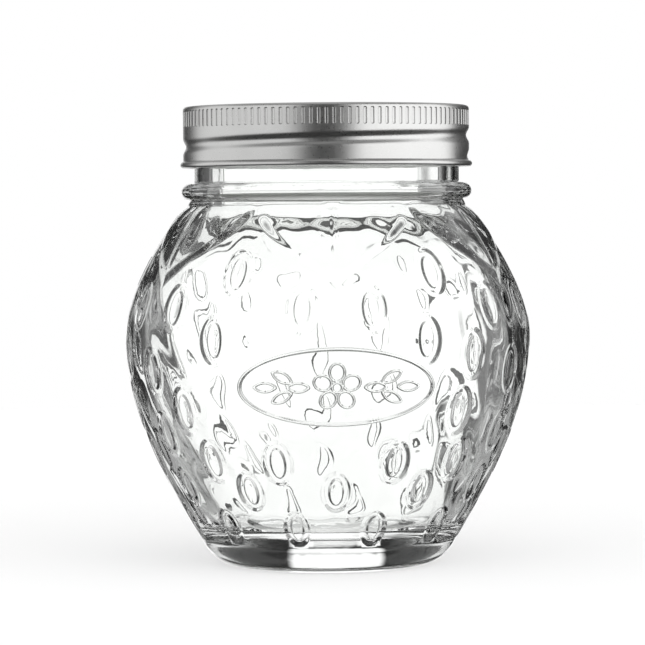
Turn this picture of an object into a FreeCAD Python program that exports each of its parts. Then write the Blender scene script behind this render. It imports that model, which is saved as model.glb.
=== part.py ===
"""Preserving jar shaped like a strawberry: one hollow glass body, a flat lid disc, its seal and a screw band.

The origin is the centre of the foot, +Z is up and the front, with the oval frame, faces -Y.
Sizes are millimetres and angles are degrees. A place on the wall is a height and an angle to the
right of the front, as seen by someone who looks at the front.
"""
import FreeCAD
import Part
import math
import os

# ---- glass body: outline -------------------------------------------------------------------
STANDING_RADIUS = 24.3      # ring that the jar stands on
HEEL_HEIGHT = 7.0           # top of the plain foot band
HEEL_RADIUS = 32.74         # body radius there
FOOT_FLARE = 0.5            # how fast the radius grows with height just above the foot
BELLY_RADIUS = 50.85
BELLY_HEIGHT = 57.4         # where the body is widest
BODY_HEIGHT = 88.3          # foot to the shoulder's end, below the neck
SHOULDER_STEP = 2.02        # radius there, beyond the neck's root
SHOULDER_FALL = 1.34        # radius lost for each millimetre of height at the shoulder's end
NECK_ROOT_STEP = 1.01       # radius of the neck's root, beyond the neck
NECK_ROOT_RISE = 3.0        # shoulder's end to the underside of the bead
BEAD_STEP = 3.15            # outside of the round bead under the screw band, beyond the neck
NECK_RADIUS = 33.35
NECK_LENGTH = 17.67         # bead to the sealing rim
NECK_WALL = 3.15
RIM_CHAMFER = 0.8           # eased edges of the sealing rim

# how full the curves are: lengths of the tangent handles
FOOT_HANDLE = 6.67
BELLY_HANDLE_DOWN = 23.06
BELLY_HANDLE_UP = 11.86
SHOULDER_HANDLE = 1.77
HEEL_HANDLE = 6.55
STANDING_HANDLE = 1.0
ROOT_HANDLE = 1.5

# ---- glass body: inside --------------------------------------------------------------------
WALL = 4.0
FLOOR_THICKNESS = 5.0       # over the hollow of the base
PUSH_UP = 2.6               # depth of that hollow
PUSH_UP_RADIUS = 17.0       # of its flat top
STANDING_WIDTH = 2.0        # flat ring that touches the table
FLOOR_CORNER = 7.0          # height over which the floor turns into the wall
INNER_HANDLE_DOWN = 13.0
INNER_HANDLE_UP = 24.0
INNER_MOUTH_HANDLE = 6.0

# ---- calyx ---------------------------------------------------------------------------------
LEAF_COUNT = 6
LEAF_LENGTH = 18.5          # from the notch between two leaves down to a leaf's tip
LEAF_SIDE = 7.8             # handle that holds a leaf's edge upright at the notch
LEAF_POINT = (8.0, 7.7)     # handle that draws the edge into the tip: sideways, upwards
LEAF_RAISE = 0.8
RIB_WIDTH = 1.1             # midrib of each leaf
RIB_LENGTH = 16.6           # from the notches' height downwards
RIB_RAISE = 0.6             # above the leaf

# ---- seeds: an oval dimple with a seed left standing in it ------------------------------------
SEED_WIDTH = 7.4
SEED_LENGTH = 12.0
KERNEL_WIDTH = 3.8
KERNEL_LENGTH = 8.4
SEED_DEPTH = 0.75
KERNEL_SINK = 0.05          # how far a seed stays under the wall's face
OVAL_END = 0.62             # end radius of an oval, as a share of its half width
# share of the body height, angles within one leaf's sector, share of the full seed size
SEED_ROWS = (
    (0.837, (30.0,), 1.0),
    (0.742, (-9.5, 9.5), 1.0),
    (0.657, (25.2,), 1.0),
    (0.612, (-18.7,), 1.0),
    (0.563, (0.0,), 1.0),
    (0.458, (-22.0, 12.0), 1.0),
    (0.388, (0.0,), 0.95),
    (0.321, (-18.5, 18.5), 0.95),
    (0.240, (0.0, 30.0), 0.88),
    (0.135, (-15.0, 15.0), 0.78),
)

# ---- oval frame on the front ---------------------------------------------------------------
FRAME_WIDTH = 46.0
FRAME_LENGTH = 18.4
FRAME_BEAD = 1.0            # width of the raised line
FRAME_RAISE = 0.5
FRAME_SHARE = 0.532         # its centre, as a share of the body height

# ---- lid disc and seal ---------------------------------------------------------------------
SEAL_THICKNESS = 0.8
SEAL_OVERHANG = 0.5         # beyond the rim's flat, both ways
DISC_SHEET = 0.3
DISC_LIP = 0.7              # turned-down edge of the disc
DISC_PLAY = 0.5             # between the disc and the inside corner of the screw band
DISC_BEAD_RADII = (12.0, 22.5)
DISC_BEAD_WIDTH = 2.6
DISC_BEAD_TOP = 1.3         # width of its flat top
DISC_BEAD_RAISE = 0.3

# ---- screw band ----------------------------------------------------------------------------
BAND_SHEET = 0.35
BAND_STEP = 2.65            # outside of the knurled skirt, beyond the neck
BAND_FLANGE = 7.0           # width of its flat top
BAND_CORNER = 0.9
KNURL_TOP = 1.0             # below the top of the band
KNURL_LENGTH = 4.2
KNURL_WIDTH = 1.0
KNURL_DEPTH = 0.2
KNURL_COUNT = 120
GROOVE_DEPTH = 0.6          # rolled grooves in the skirt
GROOVE_HEIGHTS = (6.7, 2.35)  # above the band's lower edge
GROOVE_REACH = 1.5          # half the height of a groove
GROOVE_FLAT = 0.5           # half the height of its bottom
BAND_LENGTH = 15.3
CURL_RADIUS = 0.8

# ---- worked out from the sizes above -----------------------------------------------------------
SECTOR = 360.0 / LEAF_COUNT
NECK_ROOT_RADIUS = NECK_RADIUS + NECK_ROOT_STEP
SHOULDER_RADIUS = NECK_ROOT_RADIUS + SHOULDER_STEP
BEAD_RADIUS = NECK_RADIUS + BEAD_STEP
MOUTH_RADIUS = NECK_RADIUS - NECK_WALL
BAND_RADIUS = NECK_RADIUS + BAND_STEP
BAND_HOLE_RADIUS = BAND_RADIUS - BAND_FLANGE
BEAD_SECTION = BEAD_RADIUS - NECK_ROOT_RADIUS
BEAD_HEIGHT = BODY_HEIGHT + NECK_ROOT_RISE + BEAD_SECTION
RIM_HEIGHT = BEAD_HEIGHT + BEAD_SECTION + NECK_LENGTH
DISC_HEIGHT = RIM_HEIGHT + SEAL_THICKNESS
BAND_TOP = DISC_HEIGHT + DISC_SHEET + BAND_SHEET
BAND_BOTTOM = BAND_TOP - BAND_LENGTH
DISC_RADIUS = BAND_RADIUS - BAND_CORNER - DISC_PLAY
REACH = 2.0 * BELLY_RADIUS  # longer than anything that a cutter has to pass through
CUTTER_DEPTH = 25.0         # how far a cutter reaches in behind the wall's face
OVERSHOOT = 1.0             # how far a layer stands clear of what it cuts
SEAT = 1.0                  # how deep raised parts are let into the wall
STEPS = 12                  # points on an offset curve
PRECISION = 1e-9            # of a place looked up on the outline
AXIS = FreeCAD.Vector(0, 0, 1)
CENTRE = FreeCAD.Vector(0, 0, 0)


def at(radius, height):
    """A point of a turned outline."""
    return FreeCAD.Vector(radius, 0, height)


def line(start, end):
    """A straight edge."""
    return Part.makeLine(start, end)


def arc(start, middle, end):
    """A round edge through three points."""
    return Part.Arc(start, middle, end).toShape()


def bezier(*poles):
    """A smooth curve from its first pole to its last, pulled by those between."""
    curve = Part.BezierCurve()
    curve.setPoles(list(poles))
    return curve


def spline(points):
    """A smooth curve through points."""
    curve = Part.BSplineCurve()
    curve.interpolate(points)
    return curve


def turned(edges):
    """The solid that a closed outline sweeps around the axis."""
    outline = Part.Wire(Part.__sortEdges__(edges))
    return Part.Face(outline).revolve(CENTRE, AXIS, 360)


# ---- the wall's outer outline, from the foot band up to the bead ---------------------------------
FLANK = bezier(
    at(HEEL_RADIUS, HEEL_HEIGHT),
    at(HEEL_RADIUS + FOOT_FLARE * FOOT_HANDLE, HEEL_HEIGHT + FOOT_HANDLE),
    at(BELLY_RADIUS, BELLY_HEIGHT - BELLY_HANDLE_DOWN),
    at(BELLY_RADIUS, BELLY_HEIGHT),
)
SHOULDER = bezier(
    at(BELLY_RADIUS, BELLY_HEIGHT),
    at(BELLY_RADIUS, BELLY_HEIGHT + BELLY_HANDLE_UP),
    at(SHOULDER_RADIUS + SHOULDER_FALL * SHOULDER_HANDLE, BODY_HEIGHT - SHOULDER_HANDLE),
    at(SHOULDER_RADIUS, BODY_HEIGHT),
)
NECK_ROOT = bezier(
    at(SHOULDER_RADIUS, BODY_HEIGHT),
    at(SHOULDER_RADIUS - SHOULDER_FALL * ROOT_HANDLE / 2, BODY_HEIGHT + ROOT_HANDLE / 2),
    at(NECK_ROOT_RADIUS, BODY_HEIGHT + NECK_ROOT_RISE - ROOT_HANDLE),
    at(NECK_ROOT_RADIUS, BODY_HEIGHT + NECK_ROOT_RISE),
)


def on_wall(height):
    """The point of the outer wall at a height, its upward tangent and its outward normal."""
    curve = next(c for c in (FLANK, SHOULDER, NECK_ROOT) if height <= c.EndPoint.z or c is NECK_ROOT)
    low, high = curve.FirstParameter, curve.LastParameter
    while high - low > PRECISION:
        middle = (low + high) / 2
        if curve.value(middle).z < height:
            low = middle
        else:
            high = middle
    tangent = curve.tangent(low)[0]
    return curve.value(low), tangent, FreeCAD.Vector(tangent.z, 0, -tangent.x)


def beside_wall(bottom, top, distance):
    """Points that follow the outer wall from one height to another, a distance outside it."""
    points = []
    for step in range(STEPS + 1):
        point, _, normal = on_wall(bottom + (top - bottom) * step / STEPS)
        points.append(point + normal * distance)
    return points


def wall_layer(bottom, top, inner, outer):
    """The layer of the wall between two distances from its outer face, minus being inside it."""
    inside = beside_wall(bottom, top, inner)
    outside = beside_wall(bottom, top, outer)
    return turned([
        spline(inside).toShape(),
        line(inside[-1], outside[-1]),
        spline(outside).toShape(),
        line(outside[0], inside[0]),
    ]).toNurbs()


def glass_blank():
    """The hollow body without its relief."""
    root_end = at(NECK_ROOT_RADIUS, BODY_HEIGHT + NECK_ROOT_RISE)
    bead_end = at(NECK_ROOT_RADIUS, BEAD_HEIGHT + BEAD_SECTION)
    mouth_foot = at(MOUTH_RADIUS, BEAD_HEIGHT - BEAD_SECTION)
    inner_belly = at(BELLY_RADIUS - WALL, BELLY_HEIGHT)
    floor_height = PUSH_UP + FLOOR_THICKNESS
    wall_foot, upward, outward = on_wall(floor_height + FLOOR_CORNER)
    inner_foot = wall_foot - outward * WALL
    floor_edge = at(inner_foot.x - FLOOR_CORNER, floor_height)
    standing = at(STANDING_RADIUS, 0)
    straight = Part.makePolygon([
        bead_end,
        at(NECK_RADIUS, BEAD_HEIGHT + BEAD_SECTION),
        at(NECK_RADIUS, RIM_HEIGHT - RIM_CHAMFER),
        at(NECK_RADIUS - RIM_CHAMFER, RIM_HEIGHT),
        at(MOUTH_RADIUS + RIM_CHAMFER, RIM_HEIGHT),
        at(MOUTH_RADIUS, RIM_HEIGHT - RIM_CHAMFER),
        mouth_foot,
    ])
    base = Part.makePolygon([
        floor_edge,
        at(0, floor_height),
        at(0, PUSH_UP),
        at(PUSH_UP_RADIUS, PUSH_UP),
        at(STANDING_RADIUS - STANDING_WIDTH, 0),
        standing,
    ])
    curves = [
        bezier(
            standing,
            at(STANDING_RADIUS + STANDING_HANDLE, 0),
            at(HEEL_RADIUS - FOOT_FLARE * HEEL_HANDLE, HEEL_HEIGHT - HEEL_HANDLE),
            at(HEEL_RADIUS, HEEL_HEIGHT),
        ),
        FLANK,
        SHOULDER,
        NECK_ROOT,
        Part.Arc(root_end, at(BEAD_RADIUS, BEAD_HEIGHT), bead_end),
        bezier(
            mouth_foot,
            mouth_foot - at(0, INNER_MOUTH_HANDLE),
            inner_belly + at(0, INNER_HANDLE_UP),
            inner_belly,
        ),
        bezier(
            inner_belly,
            inner_belly - at(0, INNER_HANDLE_DOWN),
            inner_foot + upward * INNER_HANDLE_DOWN,
            inner_foot,
        ),
        bezier(
            inner_foot,
            inner_foot - upward * (FLOOR_CORNER / 2),
            floor_edge + at(FLOOR_CORNER / 2, 0),
            floor_edge,
        ),
    ]
    return turned([curve.toShape() for curve in curves] + straight.Edges + base.Edges)


def facing(shape, angle):
    """A shape made for the right-hand side, turned to an angle right of the front."""
    copy = shape.copy()
    copy.rotate(CENTRE, AXIS, angle - 90)
    return copy


def leaf():
    """One leaf of the calyx as a cutter: its outline, run out from the axis."""
    half = SHOULDER_RADIUS * math.sin(math.radians(SECTOR / 2))
    tip = FreeCAD.Vector(0, 0, BODY_HEIGHT - LEAF_LENGTH)
    notch = FreeCAD.Vector(0, half, BODY_HEIGHT)
    top = FreeCAD.Vector(0, half, BEAD_HEIGHT)
    side = notch - FreeCAD.Vector(0, 0, LEAF_SIDE)
    point = tip + FreeCAD.Vector(0, *LEAF_POINT)

    def mirrored(place):
        return FreeCAD.Vector(place.x, -place.y, place.z)

    outline = Part.Wire([
        bezier(tip, point, side, notch).toShape(),
        line(notch, top),
        line(top, mirrored(top)),
        line(mirrored(top), mirrored(notch)),
        bezier(*[mirrored(place) for place in (notch, side, point, tip)]).toShape(),
    ])
    return Part.Face(outline).extrude(FreeCAD.Vector(REACH, 0, 0))


def calyx():
    """The raised leaves round the shoulder, each with its midrib."""
    low = BODY_HEIGHT - LEAF_LENGTH - OVERSHOOT
    high = BODY_HEIGHT + NECK_ROOT_RISE
    leaf_layer = wall_layer(low, high, -SEAT, LEAF_RAISE)
    rib_layer = wall_layer(low, high, -SEAT, LEAF_RAISE + RIB_RAISE)
    rib = Part.makeBox(
        REACH, RIB_WIDTH, RIB_LENGTH + NECK_ROOT_RISE, FreeCAD.Vector(0, -RIB_WIDTH / 2, BODY_HEIGHT - RIB_LENGTH)
    )
    sepal = leaf_layer.common(leaf()).fuse(rib_layer.common(rib))
    return [facing(sepal, SECTOR * index) for index in range(LEAF_COUNT)]


def oval(width, length):
    """An oval face of four arcs, upright in the XY plane or lying if it is wider than long."""
    half, tall = sorted((width / 2, length / 2))
    end = half * OVAL_END
    side = (half ** 2 + (tall - end) ** 2 - end ** 2) / (2 * (half - end))
    turn = math.atan2(tall - end, side - half)
    joint_x, joint_y = half - side + side * math.cos(turn), side * math.sin(turn)

    def place(x, y):
        return FreeCAD.Vector(x, y, 0) if length >= width else FreeCAD.Vector(y, x, 0)

    return Part.Face(Part.Wire([
        arc(place(joint_x, -joint_y), place(half, 0), place(joint_x, joint_y)),
        arc(place(joint_x, joint_y), place(0, tall), place(-joint_x, joint_y)),
        arc(place(-joint_x, joint_y), place(-half, 0), place(-joint_x, -joint_y)),
        arc(place(-joint_x, -joint_y), place(0, -tall), place(joint_x, -joint_y)),
    ]))


def pressed(face):
    """A flat face made a cutter that passes through the wall."""
    plug = face.extrude(FreeCAD.Vector(0, 0, CUTTER_DEPTH + REACH))
    plug.translate(FreeCAD.Vector(0, 0, -CUTTER_DEPTH))
    return plug


def laid_on_wall(shape, height, angle):
    """A shape made at the origin, moved to the wall: its X to the right, its Y up and its Z outwards."""
    point, tangent, normal = on_wall(height)
    right = FreeCAD.Vector(0, 1, 0)
    matrix = FreeCAD.Matrix(
        right.x, tangent.x, normal.x, point.x,
        right.y, tangent.y, normal.y, point.y,
        right.z, tangent.z, normal.z, point.z,
        0, 0, 0, 1,
    )
    copy = shape.copy()
    copy.Placement = FreeCAD.Placement(matrix).multiply(copy.Placement)
    return facing(copy, angle)


def seed_places():
    """Height, angle and size of every seed, without those that the oval frame takes the place of."""
    frame_height = FRAME_SHARE * BODY_HEIGHT
    for share, angles, size in SEED_ROWS:
        height = share * BODY_HEIGHT
        radius = on_wall(height)[0].x
        for sector in range(LEAF_COUNT):
            for offset in angles:
                angle = (sector * SECTOR + offset + 180) % 360 - 180
                across = radius * math.radians(angle) / ((FRAME_WIDTH + SEED_WIDTH) / 2)
                along = (height - frame_height) / ((FRAME_LENGTH + SEED_LENGTH) / 2)
                if math.hypot(across, along) > 1:
                    yield height, angle, size


def seed_ovals(width, length, inner, outer):
    """An oval of the wall's own curve at every seed, between two distances from the wall's face."""
    layer = wall_layer(HEEL_HEIGHT, BODY_HEIGHT, inner, outer)
    plugs = [
        laid_on_wall(pressed(oval(width * size, length * size)), height, angle)
        for height, angle, size in seed_places()
    ]
    return layer.common(Part.makeCompound(plugs)).Solids


def front_frame():
    """The raised oval line on the front."""
    height = FRAME_SHARE * BODY_HEIGHT
    reach = FRAME_LENGTH / 2 + FRAME_BEAD + OVERSHOOT
    layer = wall_layer(height - reach, height + reach, -SEAT, FRAME_RAISE)
    rim = oval(FRAME_WIDTH + FRAME_BEAD, FRAME_LENGTH + FRAME_BEAD)
    line_face = rim.cut(oval(FRAME_WIDTH - FRAME_BEAD, FRAME_LENGTH - FRAME_BEAD))
    return layer.common(laid_on_wall(pressed(line_face), height, 0))


def jar():
    """The glass body: one solid."""
    dimples = seed_ovals(SEED_WIDTH, SEED_LENGTH, -SEED_DEPTH, OVERSHOOT)
    kernels = seed_ovals(KERNEL_WIDTH, KERNEL_LENGTH, -SEED_DEPTH - SEAT, -KERNEL_SINK)
    return glass_blank().fuse(calyx() + [front_frame()]).cut(dimples).fuse(kernels)


def sheet_metal(upper, lower):
    """The solid of a turned sheet between its outer and its inner outline, both read from the same end."""
    ends = [line(upper[-1], lower[-1]), line(lower[0], upper[0])]
    return turned(Part.makePolygon(upper).Edges + Part.makePolygon(lower).Edges + ends)


def lid_disc():
    """The flat lid disc with two shallow pressed rings and a turned-down edge."""
    top = DISC_HEIGHT + DISC_SHEET
    rings = [
        at(radius + offset, top + rise)
        for radius in DISC_BEAD_RADII
        for offset, rise in (
            (-DISC_BEAD_WIDTH / 2, 0),
            (-DISC_BEAD_TOP / 2, DISC_BEAD_RAISE),
            (DISC_BEAD_TOP / 2, DISC_BEAD_RAISE),
            (DISC_BEAD_WIDTH / 2, 0),
        )
    ]
    upper = [at(0, top)] + rings
    under = [point - at(0, DISC_SHEET) for point in upper]
    upper += [at(DISC_RADIUS, top), at(DISC_RADIUS, DISC_HEIGHT - DISC_LIP)]
    inside = DISC_RADIUS - DISC_SHEET
    under += [at(inside, DISC_HEIGHT), at(inside, DISC_HEIGHT - DISC_LIP)]
    return sheet_metal(upper, under)


def lid_seal():
    """The flat sealing ring between the jar's rim and the lid disc."""
    outer = NECK_RADIUS - RIM_CHAMFER + SEAL_OVERHANG
    inner = MOUTH_RADIUS + RIM_CHAMFER - SEAL_OVERHANG
    ring = Part.makeCylinder(outer, SEAL_THICKNESS, at(0, RIM_HEIGHT))
    return ring.cut(Part.makeCylinder(inner, SEAL_THICKNESS, at(0, RIM_HEIGHT)))


def knurls():
    """The upright grips pressed into the skirt."""
    grip = Part.makeBox(
        KNURL_DEPTH + OVERSHOOT,
        KNURL_WIDTH,
        KNURL_LENGTH,
        FreeCAD.Vector(BAND_RADIUS - KNURL_DEPTH, -KNURL_WIDTH / 2, BAND_TOP - KNURL_TOP - KNURL_LENGTH),
    )
    grips = []
    for index in range(KNURL_COUNT):
        copy = grip.copy()
        copy.rotate(CENTRE, AXIS, index * 360.0 / KNURL_COUNT)
        grips.append(copy)
    return grips


def screw_band():
    """The screw band: a turned sheet with rolled grooves, a curled edge and a knurled grip."""
    curl = at(BAND_RADIUS - BAND_SHEET / 2, BAND_BOTTOM + CURL_RADIUS)
    outer = [at(BAND_HOLE_RADIUS, BAND_TOP), at(BAND_RADIUS - BAND_CORNER, BAND_TOP)]
    outer += [at(BAND_RADIUS, BAND_TOP - BAND_CORNER)]
    for height in GROOVE_HEIGHTS:
        middle = BAND_BOTTOM + height
        outer += [
            at(BAND_RADIUS, middle + GROOVE_REACH),
            at(BAND_RADIUS - GROOVE_DEPTH, middle + GROOVE_FLAT),
            at(BAND_RADIUS - GROOVE_DEPTH, middle - GROOVE_FLAT),
            at(BAND_RADIUS, middle - GROOVE_REACH),
        ]
    outer.append(at(BAND_RADIUS, curl.z))
    inner = [outer[0] - at(0, BAND_SHEET), outer[1] - at(0, BAND_SHEET)]
    inner += [point - at(BAND_SHEET, 0) for point in outer[2:]]
    sheet = sheet_metal(outer, inner)
    hem = Part.makeTorus(curl.x, CURL_RADIUS, at(0, curl.z))
    return sheet.fuse(hem).cut(knurls())


def main():
    """Writes each piece of the jar to its own file."""
    os.makedirs("parts", exist_ok=True)
    for name, make in (
        ("jar", jar),
        ("lid_disc", lid_disc),
        ("lid_seal", lid_seal),
        ("screw_band", screw_band),
    ):
        shape = make().removeSplitter()
        solid = shape.Solids[0] if len(shape.Solids) == 1 else shape
        print(name, "solids", len(shape.Solids), "valid", solid.isValid(), "volume", round(solid.Volume, 1))
        solid.exportStep(f"parts/{name}.step")


main()
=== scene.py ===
"""Preserving jar shaped like a strawberry: the look of its glass, lid disc, seal and screw band.

Sizes are millimetres and angles are degrees until a mesh is placed, and Blender's units are metres.
The front, with the oval frame, faces -Y. A place on the glass wall is an angle to the right of the
front, as seen by someone who looks at the front, and a distance up along the wall's outline.
"""

from __future__ import annotations

import logging
import math
import random
from collections.abc import Iterable, Sequence
from dataclasses import dataclass, field
from enum import Enum

import bmesh
import bpy
import numpy as np
from mathutils import Matrix, Vector
from mathutils.geometry import delaunay_2d_cdt, interpolate_bezier

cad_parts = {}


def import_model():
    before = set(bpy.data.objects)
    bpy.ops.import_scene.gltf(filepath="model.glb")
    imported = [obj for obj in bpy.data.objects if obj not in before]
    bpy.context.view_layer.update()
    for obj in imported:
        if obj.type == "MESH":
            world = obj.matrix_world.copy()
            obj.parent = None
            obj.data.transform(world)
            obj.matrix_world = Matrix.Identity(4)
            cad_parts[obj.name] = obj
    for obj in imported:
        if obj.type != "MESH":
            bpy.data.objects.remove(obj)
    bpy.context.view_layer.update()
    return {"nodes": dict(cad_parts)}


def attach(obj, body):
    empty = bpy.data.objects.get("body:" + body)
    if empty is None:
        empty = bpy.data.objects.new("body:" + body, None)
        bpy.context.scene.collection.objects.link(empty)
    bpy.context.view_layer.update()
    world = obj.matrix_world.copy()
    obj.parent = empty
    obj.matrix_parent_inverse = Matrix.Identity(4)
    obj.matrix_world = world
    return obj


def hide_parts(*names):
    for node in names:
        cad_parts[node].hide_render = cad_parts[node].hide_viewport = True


LOG = logging.getLogger("jar")
MM = 0.001
FULL_TURN = 360.0
MERGE_WITHIN = 0.01  # two corners nearer than this are one
NOISE_ENDS = (0.3, 0.7)  # nearly all of a noise lies between these
TINY = 1e-6

Profile = list[tuple[float, float]]


# ---- small tools ---------------------------------------------------------------------------


def linear(colour: str, alpha: float = 1.0) -> tuple[float, float, float, float]:
    """Turns an sRGB hex colour to linear.

    Args:
        colour: Six hex digits after a hash.
        alpha: How solid the colour is.

    Returns:
        Red, green, blue and alpha, from 0 to 1.
    """
    parts = [int(colour[i : i + 2], 16) / 255 for i in (1, 3, 5)]
    red, green, blue = (p / 12.92 if p <= 0.04045 else ((p + 0.055) / 1.055) ** 2.4 for p in parts)
    return red, green, blue, alpha


def add_node(
    tree: bpy.types.NodeTree,
    kind: str,
    settings: dict[str, object] | None = None,
    values: dict[str, object] | None = None,
    links: dict[str, bpy.types.NodeSocket] | None = None,
) -> bpy.types.Node:
    """Adds a node with its settings, the values of its sockets and its incoming links.

    Args:
        tree: The node tree to add to.
        kind: The node's type name.
        settings: Properties of the node itself.
        values: Constants for its input sockets, by name or by index.
        links: Output sockets that feed its input sockets, by name or by index.

    Returns:
        The new node.
    """
    node = tree.nodes.new(kind)
    for name, value in (settings or {}).items():
        setattr(node, name, value)
    for name, value in (values or {}).items():
        node.inputs[name].default_value = value
    for name, source in (links or {}).items():
        tree.links.new(source, node.inputs[name])
    return node


def fresh_material(name: str) -> tuple[bpy.types.Material, bpy.types.NodeTree]:
    """Makes a material with an empty node tree.

    Args:
        name: The finish that it stands for.

    Returns:
        The material and its node tree.
    """
    material = bpy.data.materials.new(name)
    material.use_nodes = True
    material.node_tree.nodes.clear()
    return material, material.node_tree


def arc(
    centre: tuple[float, float], radius: float, start: float, end: float, steps: int
) -> Profile:
    """Points of a round stretch of a turned outline.

    Args:
        centre: Radius and height of its centre.
        radius: Its own radius.
        start: Angle of the first point, from outwards towards up.
        end: Angle of the last point.
        steps: Number of equal parts.

    Returns:
        Radius and height of each point.
    """
    angles = [math.radians(start + (end - start) * i / steps) for i in range(steps + 1)]
    return [(centre[0] + radius * math.cos(a), centre[1] + radius * math.sin(a)) for a in angles]


def curve(points: Sequence[tuple[float, float]], steps: int) -> Profile:
    """Points of a smooth stretch of a turned outline, between two knots with a handle each.

    Args:
        points: First knot, its handle, the last knot's handle and the last knot.
        steps: Number of parts.

    Returns:
        Radius and height of each point.
    """
    knots = [Vector((*p, 0)) for p in points]
    return [(p.x, p.y) for p in interpolate_bezier(*knots, steps + 1)]


def straight(start: tuple[float, float], end: tuple[float, float], step: float) -> Profile:
    """Points of a straight stretch of a turned outline.

    Args:
        start: Radius and height of the first point.
        end: The last point.
        step: About how far apart the points are.

    Returns:
        Radius and height of each point.
    """
    parts = max(1, round(math.dist(start, end) / step))
    return [tuple(a + (b - a) * i / parts for a, b in zip(start, end)) for i in range(parts + 1)]


def joined(*stretches: Profile) -> Profile:
    """Joins stretches of an outline end to end, without the doubled points.

    Args:
        stretches: The stretches in order.

    Returns:
        One outline.
    """
    outline: Profile = []
    for stretch in stretches:
        for point in stretch:
            if not outline or math.dist(point, outline[-1]) > MERGE_WITHIN:
                outline.append(point)
    return outline


def turn_outline(
    mesh: bmesh.types.BMesh, outline: Profile, steps: int, closed: bool = False
) -> None:
    """Spins an outline once round the axis.

    Args:
        mesh: The mesh that the surface is added to.
        outline: Radius and height of each point.
        steps: Number of columns.
        closed: True if the outline's last point joins its first.
    """
    corners = [mesh.verts.new((0, -radius * MM, height * MM)) for radius, height in outline]
    pairs = list(zip(corners, corners[1:])) + ([(corners[-1], corners[0])] if closed else [])
    edges = [mesh.edges.new(pair) for pair in pairs]
    bmesh.ops.spin(
        mesh,
        geom=corners + edges,
        cent=(0, 0, 0),
        axis=(0, 0, 1),
        angle=math.tau,
        steps=steps,
        use_merge=True,
    )


def smooth(share: np.ndarray) -> np.ndarray:
    """Eases from 0 to 1 as a share goes from 0 to 1, and stays flat outside."""
    held = np.clip(share, 0.0, 1.0)
    return held * held * (3.0 - 2.0 * held)


def beyond_oval(x: np.ndarray, y: np.ndarray, half_width: float, half_length: float) -> np.ndarray:
    """Measures how far places lie outside an oval.

    Args:
        x: Places to the right of its middle.
        y: Places above its middle.
        half_width: Half its width.
        half_length: Half its length.

    Returns:
        Distances from its outline, negative inside it.
    """
    share = np.hypot(x / half_width, y / half_length)
    pull = np.hypot(x / half_width**2, y / half_length**2)
    return (share - 1.0) * share / np.maximum(pull, TINY)


def placed(mesh: bmesh.types.BMesh, name: str, material: bpy.types.Material) -> bpy.types.Object:
    """Makes an object of a finished mesh, at the origin.

    Args:
        mesh: The mesh, which is freed.
        name: The piece's name.
        material: Its finish.

    Returns:
        The object, in the scene.
    """
    data = bpy.data.meshes.new(name)
    for face in mesh.faces:
        face.smooth = True
    mesh.to_mesh(data)
    mesh.free()
    data.materials.append(material)
    piece = bpy.data.objects.new(name, data)
    bpy.context.scene.collection.objects.link(piece)
    return piece


# ---- the glass wall ------------------------------------------------------------------------


@dataclass(frozen=True)
class WallOutline:
    """The wall's outer outline, from the top of the foot band to the underside of the bead."""

    heel_radius: float = 32.74
    heel_height: float = 7.0
    foot_flare: float = 0.5
    belly_radius: float = 50.85
    belly_height: float = 57.4
    body_height: float = 88.3
    shoulder_radius: float = 36.38
    shoulder_fall: float = 1.34
    root_radius: float = 34.36
    root_rise: float = 3.0
    foot_handle: float = 6.67
    belly_handle_down: float = 23.06
    belly_handle_up: float = 11.86
    shoulder_handle: float = 1.77
    root_handle: float = 1.5
    samples: int = 400
    root_samples: int = 50

    def __post_init__(self) -> None:
        """Measures the outline once: distance along it, radius, height and outward direction."""
        heel = (self.heel_radius, self.heel_height)
        belly = (self.belly_radius, self.belly_height)
        shoulder = (self.shoulder_radius, self.body_height)
        root = (self.root_radius, self.body_height + self.root_rise)
        fall, handle, half_handle = self.shoulder_fall, self.shoulder_handle, self.root_handle / 2
        lower = (
            heel,
            (heel[0] + self.foot_flare * self.foot_handle, heel[1] + self.foot_handle),
            (belly[0], belly[1] - self.belly_handle_down),
            belly,
        )
        upper = (
            belly,
            (belly[0], belly[1] + self.belly_handle_up),
            (shoulder[0] + fall * handle, shoulder[1] - handle),
            shoulder,
        )
        neck = (
            shoulder,
            (shoulder[0] - fall * half_handle, shoulder[1] + half_handle),
            (root[0], root[1] - self.root_handle),
            root,
        )
        points = joined(
            curve(lower, self.samples), curve(upper, self.samples), curve(neck, self.root_samples)
        )
        line = np.array(points)
        run = np.diff(line, axis=0)
        lengths = np.hypot(run[:, 0], run[:, 1])
        along = np.concatenate([[0.0], np.cumsum(lengths)])
        slope = np.gradient(line, along, axis=0)
        slope /= np.hypot(slope[:, 0], slope[:, 1])[:, None]
        object.__setattr__(self, "along", along)
        object.__setattr__(self, "line", line)
        object.__setattr__(self, "slope", slope)

    @property
    def length(self) -> float:
        """The outline's whole length."""
        return float(self.along[-1])

    def radius(self, along: np.ndarray) -> np.ndarray:
        """The wall's radius at distances along the outline."""
        return np.interp(along, self.along, self.line[:, 0])

    def height(self, along: np.ndarray) -> np.ndarray:
        """The wall's height at distances along the outline."""
        return np.interp(along, self.along, self.line[:, 1])

    def reach(self, height: np.ndarray) -> np.ndarray:
        """The distance along the outline at which the wall has a height."""
        return np.interp(height, self.line[:, 1], self.along)

    def normal(self, along: np.ndarray) -> tuple[np.ndarray, np.ndarray]:
        """Finds which way the wall faces.

        Args:
            along: Distances along the outline.

        Returns:
            The outward and the upward part of its normal.
        """
        outward = np.interp(along, self.along, self.slope[:, 1])
        upward = -np.interp(along, self.along, self.slope[:, 0])
        return outward, upward


Guide = np.ndarray  # rows of an angle in radians and a distance along the wall


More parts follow.
